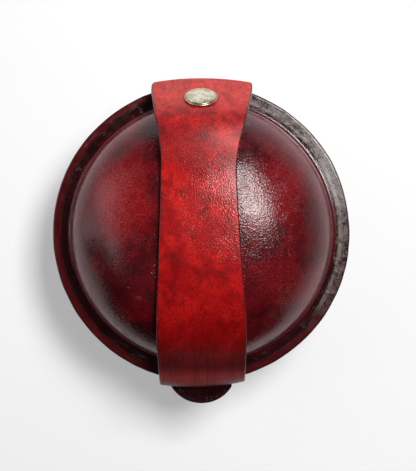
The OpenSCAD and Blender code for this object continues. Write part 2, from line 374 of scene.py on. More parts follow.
def strap_piece(name, s0, s1, free0=False, free1=False, corner0=(1.2, 1.2), corner1=(20.0, 20.0), tip_curve=None,
                inner=30, pitch=1.05, hole=None, dent=None, corner_power=2.0, rows=None):
    """A stretch of strap from s0 to s1. A free end has a burnished edge, the other ends are cuts that meet the next stretch.
    hole is (s from, s to, half width)."""
    # rows
    if rows is None:
        rows = [s0]
        while rows[-1] < s1:
            m = PATH.at(rows[-1])[0]
            tight = ease(abs(m[1]), 8.5, 5.0) * (abs(m[0]) > 60)
            rows.append(rows[-1] + pitch * (1 - 0.6 * tight))
        rows = np.array(rows)
        rows = s0 + (rows - s0) * (s1 - s0) / (rows[-1] - s0)
        if free0:
            rows = np.r_[s0 + INSETS, rows[rows > s0 + INSETS[-1] + 0.4]]
        if free1:
            rows = np.r_[rows[rows < s1 - INSETS[-1] - 0.4], s1 - INSETS[::-1]]
    if hole:
        for edge in hole[:2]:
            for v in (edge - 0.25, edge, edge + 0.25):
                rows = np.r_[rows[np.abs(rows - v) > 0.24], v]
        rows = np.sort(rows)
    # columns as fractions: an inset from either edge, then even steps
    cols = [("l", e) for e in INSETS] + [("m", k / inner) for k in range(1, inner)] + [("r", e) for e in INSETS[::-1]]
    nr, nc = len(rows), len(cols)
    S = np.repeat(rows[:, None], nc, 1)
    w = strap_width(rows)
    if free1:
        w = w + 0 * rows
    c = centre_x(rows)
    X = np.empty((nr, nc))
    left, right = c - w, c + w
    for j, (kind, v) in enumerate(cols):
        if kind == "l":
            X[:, j] = left + v
        elif kind == "r":
            X[:, j] = right - v
        else:
            a, b = left + INSETS[-1], right - INSETS[-1]
            X[:, j] = a + v * (b - a)
    if hole:
        hw = hole[2]
        near = [(np.abs(X.mean(0) - v)).argmin() for v in (-hw, hw)]
        for j, v in zip(near, (-hw, hw)):
            X[:, j] = v
    dx = np.minimum(X - left[:, None], right[:, None] - X)
    d0 = (S - s0) if free0 else np.full_like(S, 99.0)
    d1 = (s1 - S) if free1 else np.full_like(S, 99.0)
    e = np.minimum(dx, np.minimum(d0, d1))
    # round the corners of free ends
    for free, dist, rc, sign in ((free0, d0, corner0, 1), (free1, d1, corner1, -1)):
        if not free:
            continue
        for side in (-1, 1):
            sx = (X - left[:, None]) if side < 0 else (right[:, None] - X)
            ex, rs = np.minimum(rc[0], 0.999 * w[:, None]), rc[1]
            vx, vs = np.clip((ex - sx) / ex, 0, 1), np.clip((rs - dist) / rs, 0, 1)
            inside = (vx > 0) & (vs > 0) & (sx <= ex)
            norm = (vx ** corner_power + vs ** corner_power) ** (1 / corner_power)
            k = np.where(inside, np.maximum(vx, vs) / np.maximum(norm, 1e-9), 1.0)
            nx, ns = vx * k, vs * k
            X = np.where(inside, (left[:, None] + ex - nx * ex) if side < 0 else (right[:, None] - ex + nx * ex), X)
            newd = rs - ns * rs
            S = np.where(inside, (s0 + newd) if sign > 0 else (s1 - newd), S)
    if tip_curve is not None:
        bulge, reach = tip_curve
        d = S - s0
        S = S + bulge * ((X - c[:, None]) / w[:, None]) ** 2 * ease(d, reach, 0)
    hole_cell = np.zeros((nr - 1, nc - 1), bool)
    if hole:
        ra, rb = [int(np.abs(rows - v).argmin()) for v in hole[:2]]
        hole_cell[ra:rb, near[0]:near[1]] = True
        # a slightly eased rim round the slit
        hd = np.maximum(np.maximum(rows[ra] - S, S - rows[rb]), np.abs(X) - hole[2])
        e = np.where(hd >= 0, np.minimum(e, np.maximum(hd, 0) * 1.2 + 0.12), e)
    P, N = middle_frame(S, X)
    H = face_height(e, STRAP_T)
    fine = 0.018 * waves(np.stack([S, X], -1).reshape(-1, 2), 8.5, 11).reshape(S.shape)
    up = H + fine * ease(e, 0, 1.5)
    if dent is not None:
        up = up - dent(S, X)
    top = P + N * up[..., None]
    low = P - N * (H + 0.05 * waves(np.stack([S, X], -1).reshape(-1, 2), 5.0, 17).reshape(S.shape) * ease(e, 0, 1.5))[..., None]
    verts = [top.reshape(-1, 3), low.reshape(-1, 3)]
    skin = [np.c_[S.ravel(), X.ravel(), np.full(S.size, 1.2)], np.c_[S.ravel(), X.ravel(), np.full(S.size, -1.2)]]
    rest = [P.reshape(-1, 3), P.reshape(-1, 3)]
    side = [np.ones(S.size), -np.ones(S.size)]
    edge = [e.ravel(), e.ravel()]
    T = np.arange(nr * nc).reshape(nr, nc)
    B = T + nr * nc
    faces = []
    for i in range(nr - 1):
        for j in range(nc - 1):
            if hole_cell[i, j]:
                continue
            faces.append((T[i, j], T[i, j + 1], T[i + 1, j + 1], T[i + 1, j]))
            faces.append((B[i, j], B[i + 1, j], B[i + 1, j + 1], B[i, j + 1]))
    # wall loops: run round the rim in order
    rim = [(0, j) for j in range(nc)] + [(i, nc - 1) for i in range(1, nr)] \
        + [(nr - 1, j) for j in range(nc - 2, -1, -1)] + [(i, 0) for i in range(nr - 2, 0, -1)]
    loops = [rim]
    if hole:
        a, b, l, r = ra, rb, near[0], near[1]
        loops.append([(a, j) for j in range(l, r + 1)] + [(i, r) for i in range(a + 1, b + 1)]
                     + [(b, j) for j in range(r - 1, l - 1, -1)] + [(i, l) for i in range(b - 1, a, -1)])
    base = 2 * nr * nc
    caps = []
    for k, loop in enumerate(loops):
        ii, jj = np.array(loop).T
        t, b = top[ii, jj], low[ii, jj]
        free = np.zeros(len(loop), bool)
        for m, (i, j) in enumerate(loop):
            cut0 = i == 0 and not free0
            cut1 = i == nr - 1 and not free1
            free[m] = k == 1 or not (cut0 or cut1)
        out = np.roll(t, -1, 0) - np.roll(t, 1, 0)
        outn = np.cross(out, N[ii, jj])
        outn /= np.maximum(np.linalg.norm(outn, axis=1), 1e-9)[:, None]
        if k == 0:
            centre = P.reshape(-1, 3).mean(0)
            if np.einsum("ij,ij->i", outn, t - centre).sum() < 0:
                outn = -outn
        mids = []
        for f in (0.34, 0.66):
            swell = 0.10 * free if k == 0 else 0.0 * free
            mids.append(t * (1 - f) + b * f + outn * np.asarray(swell)[:, None])
        n = len(loop)
        ring = [np.array([T[i, j] for i, j in loop])]
        for q, pts in enumerate(mids):
            ring.append(base + np.arange(n))
            base += n
            verts.append(pts)
            skin.append(np.c_[S[ii, jj], X[ii, jj], np.full(n, 0.4 - 0.8 * q)])
            rest.append(P[ii, jj])
            side.append(np.zeros(n))
            edge.append(np.zeros(n))
        ring.append(np.array([B[i, j] for i, j in loop]))
        for a, b2 in zip(ring[:-1], ring[1:]):
            for m in range(n):
                m2 = (m + 1) % n
                f = (a[m], b2[m], b2[m2], a[m2])
                faces.append(f)
                (i, j), (i2, j2) = loop[m], loop[m2]
                if k == 0 and ((i == i2 == 0 and not free0) or (i == i2 == nr - 1 and not free1)):
                    caps.append(f)
    verts = np.vstack(verts)
    attributes = {"skin": ("FLOAT_VECTOR", np.vstack(skin)), "rest": ("FLOAT_VECTOR", np.vstack(rest) - [0, 0, ZP]),
                  "side": ("FLOAT", np.concatenate(side)), "rim": ("FLOAT", np.concatenate(edge))}
    ob = new_mesh(name, verts, faces, attributes, sharp_faces=caps)
    outward(ob)
    return ob


def snap_dent(S, X):
    """The leather is pressed in round the cap and rises softly outside it."""
    s_mid = SNAP_S
    rho = np.hypot(S - s_mid, X)
    return 0.30 * np.exp(-((rho - 7.0) / 1.4) ** 2) - 0.09 * np.exp(-((rho - 10.6) / 1.8) ** 2)


main = strap_piece("strap_top", 0.0, S_BLEND, free0=True, corner0=(1.1, 1.3), tip_curve=(3.0, 20.0), dent=snap_dent)
front = strap_piece("strap_front_slope", S_BLEND, S_FOLD_A)
slit_rows = [PATH.where(lambda y, z: (y < -60) & (z < v)) for v in (1.75, -1.75)]
fold = strap_piece("strap_fold_leather", S_FOLD_A, S_FOLD_B, hole=(slit_rows[0], slit_rows[1], 14.95))
under = strap_piece("strap_bottom", S_FOLD_B, S_WRAP)
wrap = strap_piece("strap_end_leather", S_WRAP, S_TIP, free1=True, corner1=(23.1, 34.0), corner_power=2.2)

if True:
    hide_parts("strap_over", "strap_outer_end")
    # the outer end bends up from the strap where it leaves the crown
    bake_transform(main)
    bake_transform(front)
    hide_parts("strap_fold")
    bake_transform(fold)
    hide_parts("strap_under")
    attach(under, "base")
    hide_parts("strap_inner_end")
    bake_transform(wrap)

STRAPS = [main, front, fold, under, wrap]

# --------------------------------------------------------------------------
# Shells
# --------------------------------------------------------------------------
def arc(cx, cy, r, a0, a1, n):
    a = np.radians(np.linspace(a0, a1, n))
    return np.c_[cx + r * np.cos(a), cy + r * np.sin(a)]


def shell_profile():
    """Outer face from the crown to the rim, then back along the parting face and up the inside."""
    fine = round_dome(DOME_R, DOME_H, 4000)
    run = np.r_[0, np.cumsum(np.linalg.norm(np.diff(fine[::-1], axis=0), axis=1))]
    foot_z = ZF + FOOT_R
    foot_r = float(np.interp(foot_z, fine[:, 1], fine[:, 0]))
    end = float(np.interp(foot_z + 0.5, fine[:, 1], run[::-1]))
    q = np.r_[0, 1.2, np.linspace(2.4, end, 66)]
    crown = np.c_[np.interp(q, run, fine[::-1, 0]), np.interp(q, run, fine[::-1, 1])]
    crown[0] = (0, DOME_H)
    body = np.empty((0, 2))
    foot = arc(foot_r + FOOT_R, foot_z, FOOT_R, 182, 268, 9)
    r = np.r_[np.arange(foot_r + FOOT_R + 0.3, 65.8, 0.35), 65.95, 66.1, 66.2, 66.3, 66.4, 66.5, 66.65,
              np.arange(66.9, 68.8, 0.3)]
    z = np.full(len(r), ZF)
    flat = np.c_[r, z]
    rim = np.vstack([arc(FLANGE_R - 0.95, ZF - 0.95, 0.95, 84, 14, 8), [[FLANGE_R, 1.25]],
                     arc(FLANGE_R - 0.5, PARTING + 0.5, 0.5, 0, -80, 5)])
    count = len(crown) + len(body) + len(foot) + len(flat) + len(rim)
    face = np.array([[68.4, PARTING], [65, PARTING], [62, PARTING], [60.2, PARTING]])
    r_in, h_in = DOME_R - SHELL_T, DOME_H - SHELL_T
    b = np.radians(np.r_[0.9, 2, 4, np.arange(8, 90, 5.2)])
    inside = np.c_[CROWN_R + (r_in - CROWN_R) * np.cos(b), h_in * np.sin(b)]
    inside = np.vstack([[[r_in + 0.45, PARTING + 0.02], [r_in + 0.1, PARTING + 0.28]], inside,
                        [[12, h_in], [6, h_in], [0, h_in]]])
    return np.vstack([crown, body, foot, flat, rim, face, inside]), count


SHELL_LINE, SHELL_OUTER = shell_profile()
_t = np.gradient(SHELL_LINE, axis=0)
_t /= np.linalg.norm(_t, axis=1)[:, None]
SHELL_NORMAL = np.c_[-_t[:, 1], _t[:, 0]] * [1, 1]
SHELL_NORMAL[0] = (0, 1)


def shell(name, node, body, side):
    """side is +1 for the upper shell and -1 for the lower one, which is the same moulding turned over."""
    n = 420
    rows = len(SHELL_LINE) - 2

    def move(p, r, h, a):
        idx = np.r_[np.repeat(np.arange(1, rows + 1), n), 0, rows + 1]
        x, y = p[:, 0], p[:, 1]
        outer = idx < SHELL_OUTER
        seed = 31 if side > 0 else 61
        big = 0.26 * waves(p, 36, seed) + 0.05 * waves(p, 16, seed + 1) + 0.008 * waves(p, 6.5, seed + 2)
        big = np.clip(big, -0.7, 0.5)
        under_strap = ease(np.abs(x), 25, 19)
        d = big * (1 - under_strap) + (0.25 * np.minimum(big, 0.2) - 0.10) * under_strap
        on_dome = ease(r, 61.0, 57.0)
        foot = ease(r, 57, 61) * ease(r, 66.2, 64.5)
        d = d * on_dome + 0.15 * d * foot + ease(r, 63, 65) * ease(r, 69.3, 68.6) * (
            0.016 * waves(p, 12, seed + 3) + 0.006 * waves(p, 3.2, seed + 4))
        d = np.where(outer, d, 0)
        worn = smooth(0.5 - 0.9 * (x + 0.55 * y) / 60)
        crease = 66.3 + 0.10 * waves(np.c_[np.cos(a), np.sin(a)] * 60, 14, 9)
        d = d - outer * (h > 1.5) * worn * 0.012 * np.exp(-((r - crease) / 0.22) ** 2)
        nr, nh = SHELL_NORMAL[idx, 0], SHELL_NORMAL[idx, 1]
        ring = np.c_[np.cos(a) * 60, np.sin(a) * 60]
        wobble = ease(r, 62, 69.5)
        dr = -np.abs(0.20 * waves(ring, 46, 5) + 0.06 * waves(ring, 9, 6)) * wobble
        dz = side * 0.13 * waves(ring, 55, 7) * wobble * ease(np.abs(x), 18, 30)
        rr = r + nr * d + dr
        hh = h + nh * d + dz
        return np.c_[rr * np.cos(a), rr * np.sin(a), hh]

    def place(p):
        return p * [1, 1, side] + [0, 0, ZP]

    def attributes(rest, r, h, a, idx):
        outer = np.r_[np.repeat(np.arange(1, rows + 1), n), 0, rows + 1] < SHELL_OUTER
        return {"skin": ("FLOAT_VECTOR", rest * [1, 1, side]), "ring": ("FLOAT", r),
                "high": ("FLOAT", h), "side": ("FLOAT", outer.astype(float))}

    ob = revolve(name, SHELL_LINE, n, place, move, attributes)
    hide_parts(node)
    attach(ob, body)
    return ob


upper = shell("lid_shell", "upper_shell", "lid", 1)
lower = shell("bottom_shell", "lower_shell", "base", -1)


def lining(name, node, body, side):
    r1, r0, h1, h0 = 59.2, 58.4, 35.5, 34.7
    b = np.radians(np.r_[np.arange(90, 6, -2.4), 4.5, 3.0, 1.8])
    inner = np.c_[CROWN_R + (r0 - CROWN_R) * np.cos(b), h0 * np.sin(b)]
    outer = np.c_[CROWN_R + (r1 - CROWN_R) * np.cos(b[::-2]), h1 * np.sin(b[::-2])]
    line = np.vstack([[[0, h0], [4, h0], [8, h0], [12, h0], [15.5, h0]], inner,
                      [[r0 + 0.04, 0.62], [r0 + 0.2, 0.42], [r0 + 0.4, 0.36], [r0 + 0.6, 0.42], [r1 - 0.03, 0.62]],
                      outer, [[10, h1], [0, h1]]])
    n = 280
    rows = len(line) - 2
    shown = 5 + len(inner)

    def move(p, r, h, a):
        idx = np.r_[np.repeat(np.arange(1, rows + 1), n), 0, rows + 1]
        soft = 0.16 * waves(p, 19, 83 + side) + 0.05 * waves(p, 6, 85 + side)
        d = np.where(idx < shown, np.abs(soft) * ease(h, 1.5, 6), 0)
        pr = r - d * ease(r, 8, 30)
        return np.c_[pr * np.cos(a), pr * np.sin(a), h - d * ease(h, 8, 24)]

    ob = revolve(name, line, n, lambda p: p * [1, 1, side] + [0, 0, ZP], move,
                 lambda rest, r, h, a, idx: {"skin": ("FLOAT_VECTOR", rest * [1, 1, side]), "high": ("FLOAT", h)})
    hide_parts(node)
    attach(ob, body)
    return ob


LININGS = [lining("lid_lining", "upper_lining", "lid", 1), lining("bottom_lining", "lower_lining", "base", -1)]


# --------------------------------------------------------------------------
# Tabs: one on each shell's front edge, lying on each other outside the strap
# --------------------------------------------------------------------------
TAB_R, TAB_Y, CHORD = 16.8, -63.7, -72.5


def tab_heights(x, y, e, side):
    """Top and bottom of a tab at a point, e from its free edge."""
    curl = 0.0
    z0, z1 = 0.03, 1.5
    soft = 0.05 * waves(np.stack([x, y], -1).reshape(-1, 2), 8, 91 + side).reshape(np.shape(x))
    q = np.clip(e, 0, 0.62)
    rise = 0.62 - np.sqrt(np.maximum(0.62 ** 2 - (0.62 - q) ** 2, 0))
    top = z1 - 0.06 - rise * 0.95 + soft * ease(e, 0, 1) + curl
    low = z0 + rise * 0.35
    return top, low


def tab(name, node, side):
    n = 72
    insets = np.r_[0, 0.06, 0.16, 0.32, 0.55, 0.9, 1.4, 2.1, 3.0, 4.0, 5.0, 6.0, 7.0]
    rho = np.r_[TAB_R - insets, 8.9]
    u = np.linspace(-1, 1, n + 1)
    u = u + 0.04 * np.sin(np.pi * u)
    pm = np.arccos(np.clip((TAB_Y - CHORD) / rho, -1, 1))
    phi = pm[:, None] * u[None, :]
    X = rho[:, None] * np.sin(phi)
    Y = TAB_Y - rho[:, None] * np.cos(phi)
    X[:, [0, -1]] = (rho * np.sin(pm))[:, None] * [-1, 1]
    Y[:, [0, -1]] = CHORD
    X = np.vstack([X, np.zeros(n + 1)])
    Y = np.vstack([Y, np.full(n + 1, CHORD)])
    e = TAB_R - np.hypot(X, Y - TAB_Y)
    # cut by hand: the arc is a little flat on one side
    k = 1 + 0.010 * waves(np.stack([X, Y], -1).reshape(-1, 2) * 0.7, 16, 95).reshape(X.shape) * ease(Y, CHORD, -76)
    top, low = tab_heights(X, Y, e, side)
    T3 = np.stack([X * k, CHORD + (Y - CHORD) * np.minimum(k, 1.0), top * side], -1)
    B3 = np.stack([X * k, CHORD + (Y - CHORD) * np.minimum(k, 1.0), low * side], -1)
    return slab(name, T3, B3, e, X, Y, collapse=True)


def slab(name, T3, B3, e, X, Y, collapse=False):
    """A solid between two grids with the same outline. The last row may be one point."""
    nr, nc = X.shape
    T = np.arange(nr * nc).reshape(nr, nc)
    if collapse:
        T[-1] = T[-1, 0]
    B = T + nr * nc
    verts = [T3.reshape(-1, 3), B3.reshape(-1, 3)]
    side = [np.ones(nr * nc), -np.ones(nr * nc)]
    rim = [e.ravel(), e.ravel()]
    faces = []

    def add(*f):
        g = [f[0]]
        for i in f[1:]:
            if i != g[-1]:
                g.append(i)
        if g[-1] == g[0]:
            g.pop()
        if len(set(g)) >= 3:
            faces.append(tuple(g))

    for i in range(nr - 1):
        for j in range(nc - 1):
            add(T[i, j], T[i, j + 1], T[i + 1, j + 1], T[i + 1, j])
            add(B[i, j], B[i + 1, j], B[i + 1, j + 1], B[i, j + 1])
    loop = [(0, j) for j in range(nc)] + [(i, nc - 1) for i in range(1, nr)] \
        + ([] if collapse else [(nr - 1, j) for j in range(nc - 2, 0, -1)]) + [(i, 0) for i in range(nr - 1 - int(collapse), 0, -1)]
    ii, jj = np.array(loop).T
    mid = 0.5 * (T3[ii, jj] + B3[ii, jj])
    base = 2 * nr * nc
    verts.append(mid)
    side.append(np.zeros(len(loop)))
    rim.append(np.zeros(len(loop)))
    a = [T[i, j] for i, j in loop]
    b = [base + k for k in range(len(loop))]
    c = [B[i, j] for i, j in loop]
    caps = []
    for k in range(len(loop)):
        m = (k + 1) % len(loop)
        before = len(faces)
        add(a[k], b[k], b[m], a[m])
        add(b[k], c[k], c[m], b[m])
        if not (loop[k][0] == loop[m][0] == 0):
            caps += faces[before:]
    verts = np.vstack(verts)
    used = np.zeros(len(verts), bool)
    for f in faces:
        used[list(f)] = True
    order = np.cumsum(used) - 1
    faces = [tuple(order[i] for i in f) for f in faces]
    caps = [tuple(order[i] for i in f) for f in caps]
    v = verts[used]
    ob = new_mesh(name, v + [0, 0, ZP], faces,
                  {"skin": ("FLOAT_VECTOR", v), "side": ("FLOAT", np.concatenate(side)[used]),
                   "rim": ("FLOAT", np.concatenate(rim)[used])}, sharp_faces=caps)
    outward(ob)
    return ob


def tab_root(name, side):
    """The neck that joins a tab to its shell through the strap's slit."""
    half = math.sqrt(TAB_R ** 2 - (TAB_Y - CHORD) ** 2)
    y = np.array([CHORD, -72.0, -71.5, -71.0, -70.5, -70.0, -69.3, -68.4])
    x = np.r_[-half, -half + 0.06, -half + 0.2, -half + 0.5, np.linspace(-half + 1, half - 1, 36), half - 0.5, half - 0.2, half - 0.06, half]
    X, Y = np.meshgrid(x, y)
    e = half - np.abs(X)
    top, low = tab_heights(X, Y, np.minimum(e, TAB_R - np.hypot(X, np.maximum(CHORD, Y * 0 + CHORD) - TAB_Y)), side)
    low = low + 0.25 * ease(Y, -71.0, -69.5)
    return slab(name, np.stack([X, Y, top * side], -1), np.stack([X, Y, low * side], -1), e, X, Y)


TABS = [tab("lid_tab", "upper_tab", 1), tab("bottom_tab", "lower_tab", -1),
        tab_root("lid_tab_root", 1), tab_root("bottom_tab_root", -1)]
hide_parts("upper_tab")
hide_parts("lower_tab")
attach(TABS[0], "tabs")
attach(TABS[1], "tabs")
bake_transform(TABS[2])
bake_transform(TABS[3])


# --------------------------------------------------------------------------
# Press snap: cap and socket in the outer end, stud and post in the inner one
# --------------------------------------------------------------------------
def snap_frame(n):
    axis_y = np.array([n[1], -n[0]])

    def place(p):
        return np.c_[p[:, 0], MID[0] + p[:, 1] * axis_y[0] + p[:, 2] * n[0],
                     ZP + MID[1] + p[:, 1] * axis_y[1] + p[:, 2] * n[1]]
    return place


def rounded(line, r=0.12, n=3):
    """The profile with every corner rounded."""
    line = np.asarray(line, float)
    out = [line[0]]
    for a, b, c in zip(line[:-2], line[1:-1], line[2:]):
        u, v = a - b, c - b
        lu, lv = np.linalg.norm(u), np.linalg.norm(v)
        u, v = u / lu, v / lv
        if np.cross(u, v) ** 2 < 0.02:
            out.append(b)
            continue
        k = min(r, 0.42 * lu, 0.42 * lv)
        p, q = b + k * u, b + k * v
        for t in np.linspace(0, 1, n + 1):
            out.append((1 - t) ** 2 * p + 2 * t * (1 - t) * b + t * t * q)
    out.append(line[-1])
    return np.array(out)


def thick(p, r, h, a):
    return p


def metal(name, node, body, line, n, normal, move=None, ring=False):
    ob = revolve(name, line, n, snap_frame(normal), move,
                 lambda rest, r, h, a, idx: {"skin": ("FLOAT_VECTOR", rest), "ring": ("FLOAT", r)}, sharp_angle=50)
    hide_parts(node)
    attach(ob, body)
    return ob


cap_top = [[6.85 * math.cos(math.radians(t)), 4.30 + 0.92 * math.sin(math.radians(t)) ** 0.9] for t in (2, 8, 16, 25, 34, 43, 52, 60, 67, 74, 80, 85)]
cap_line = np.vstack([
    [[0, 0.72], [2.4, 0.72]], rounded([[2.4, 0.72], [2.4, 3.52], [7.1, 3.52]], 0.15)[1:-1],
    arc(7.05, 3.84, 0.32, -90, 90, 9), [[6.93, 4.18], [6.88, 4.24]], cap_top, [[0, 5.22]]])


def cap_move(p, r, h, a):
    d = 0.045 * waves(p[:, :2], 5.2, 121) + 0.020 * waves(p[:, :2], 1.9, 123)
    dent = 0.10 * np.exp(-(((p[:, 0] + 2.2) / 1.9) ** 2 + ((p[:, 1] - 1.4) / 1.2) ** 2))
    q = p.copy()
    q[:, 2] += (d - dent) * ease(h, 4.25, 4.6)
    q[:, :2] *= (1 + 0.004 * np.sin(2 * a + 0.6) * ease(r, 5, 7))[:, None]
    return q


socket_line = rounded([[2.45, .95], [6.2, .95], [6.2, .65], [5.6, .5], [5.6, -.25], [4.9, -.25], [4.75, -.05], [4.3, .05],
                       [3.7, -.05], [3.55, -.25], [3.08, -.25], [3.08, .55], [2.45, .55], [2.45, .95]], 0.12)[1:-1]
stud_line = rounded([[1.85, -1.0], [5.3, -1.0], [5.3, -.73], [4.3, -.68], [3.6, -.6], [3.05, -.5], [2.85, -.2], [2.98, .12],
                     [2.7, .45], [1.4, .45], [1.15, .3], [0, .3]], 0.12)
stud_line = np.vstack([[[0, 0.0]], [[1.2, 0.0]], [[1.75, -0.06]], [[1.85, -0.12]], stud_line[0:]])
b0 = 3.43
post_line = rounded([[0, -b0 + .1], [4.6, -b0 + .1], [5, -b0 + .25], [5, -b0 + .5], [1.8, -b0 + .5], [1.8, -.05], [0, -.05]], 0.14)

METALS = [metal("snap_cap_metal", "snap_cap", "outer_end", cap_line, 144, N_OUT, cap_move),
          metal("snap_socket_metal", "snap_socket", "outer_end", socket_line, 96, N_OUT),
          metal("snap_stud_metal", "snap_stud", "inner_end", stud_line, 96, N_IN),
          metal("snap_post_metal", "snap_post", "inner_end", post_line, 96, N_IN)]


# --------------------------------------------------------------------------
# Materials
# --------------------------------------------------------------------------
class Paint:
    """A node material, written as expressions."""

    def __init__(self, name):
        self.mat = bpy.data.materials.new(name)
        self.mat.use_nodes = True
        self.tree = self.mat.node_tree
        for n in list(self.tree.nodes):
            if n.type != "OUTPUT_MATERIAL":
                self.tree.nodes.remove(n)
        self.out = next(n for n in self.tree.nodes if n.type == "OUTPUT_MATERIAL")
        self.bsdf = self.new("ShaderNodeBsdfPrincipled")
        self.tree.links.new(self.bsdf.outputs[0], self.out.inputs[0])

    def new(self, kind):
        return self.tree.nodes.new(kind)

    def put(self, socket, value):
        if isinstance(value, bpy.types.NodeSocket):
            self.tree.links.new(value, socket)
        elif hasattr(socket.default_value, "__len__"):
            v = list(value) if hasattr(value, "__len__") else [value] * 3
            socket.default_value = v + [1.0] * (len(socket.default_value) - len(v))
        else:
            socket.default_value = value

    def attr(self, name, vector=True):
        n = self.new("ShaderNodeAttribute")
        n.attribute_name = name
        return n.outputs["Vector"] if vector else n.outputs["Fac"]

    def math(self, op, a, b=0.0, c=0.0):
        n = self.new("ShaderNodeMath")
        n.operation = op
        for s, v in zip(n.inputs, (a, b, c)):
            self.put(s, v)
        return n.outputs[0]

    def add(self, a, b):
        return self.math("ADD", a, b)

    def mul(self, a, b):
        return self.math("MULTIPLY", a, b)

    def vec(self, a, scale, shift=(0, 0, 0)):
        n = self.new("ShaderNodeMapping")
        self.put(n.inputs["Vector"], a)
        n.inputs["Scale"].default_value = scale if hasattr(scale, "__len__") else [scale] * 3
        n.inputs["Location"].default_value = shift
        return n.outputs[0]

    def xyz(self, a):
        n = self.new("ShaderNodeSeparateXYZ")
        self.put(n.inputs[0], a)
        return n.outputs

    def noise(self, p, size, detail=3.0, rough=0.55, warp=0.0, shift=(0, 0, 0)):
        """Noise with features of about that size in millimetres."""
        n = self.new("ShaderNodeTexNoise")
        size = size if hasattr(size, "__len__") else [size] * 3
        self.put(n.inputs["Vector"], self.vec(p, [1.0 / k for k in size], shift))
        n.inputs["Scale"].default_value = 1.0
        n.inputs["Detail"].default_value = detail
        n.inputs["Roughness"].default_value = rough
        n.inputs["Distortion"].default_value = warp
        return n.outputs["Fac"] if "Fac" in n.outputs else n.outputs[0]

    def cells(self, p, size, feature="F1", smoothness=0.0, shift=(0, 0, 0)):
        n = self.new("ShaderNodeTexVoronoi")
        n.feature = feature
        size = size if hasattr(size, "__len__") else [size] * 3
        self.put(n.inputs["Vector"], self.vec(p, [1.0 / k for k in size], shift))
        n.inputs["Scale"].default_value = 1.0
        if feature == "SMOOTH_F1":
            n.inputs["Smoothness"].default_value = smoothness
        return n.outputs["Distance"]

    def step(self, v, a, b, lo=0.0, hi=1.0):
        """lo at a, hi at b, smooth between."""
        n = self.new("ShaderNodeMapRange")
        n.interpolation_type = "SMOOTHSTEP"
        flip = a > b
        self.put(n.inputs["Value"], v)
        n.inputs["From Min"].default_value = b if flip else a
        n.inputs["From Max"].default_value = a if flip else b
        n.inputs["To Min"].default_value = hi if flip else lo
        n.inputs["To Max"].default_value = lo if flip else hi
        return n.outputs[0]

    def mix(self, fac, a, b):
        n = self.new("ShaderNodeMix")
        n.data_type = "RGBA"
        self.put(n.inputs["Factor"], fac)
        self.put(n.inputs[6], a)
        self.put(n.inputs[7], b)
        return n.outputs[2]

    def blend(self, fac, a, b):
        n = self.new("ShaderNodeMix")
        n.data_type = "FLOAT"
        self.put(n.inputs["Factor"], fac)
        self.put(n.inputs[2], a)
        self.put(n.inputs[3], b)
        return n.outputs[0]

    def bump(self, height, depth, normal=None):
        """height 0..1 stands for depth in millimetres."""
        n = self.new("ShaderNodeBump")
        n.inputs["Distance"].default_value = depth * MM
        self.put(n.inputs["Height"], height)
        if normal is not None:
            self.put(n.inputs["Normal"], normal)
        return n.outputs[0]

    def spot(self, x, y, cx, cy, rx, ry):
        """1 in the middle of a soft oval patch, 0 outside it."""
        dx = self.math("DIVIDE", self.math("SUBTRACT", x, cx), rx)
        dy = self.math("DIVIDE", self.math("SUBTRACT", y, cy), ry)
        return self.step(self.add(self.mul(dx, dx), self.mul(dy, dy)), 1.0, 0.05)

    def set(self, **values):
        for key, v in values.items():
            self.put(self.bsdf.inputs[key.replace("_", " ")], v)


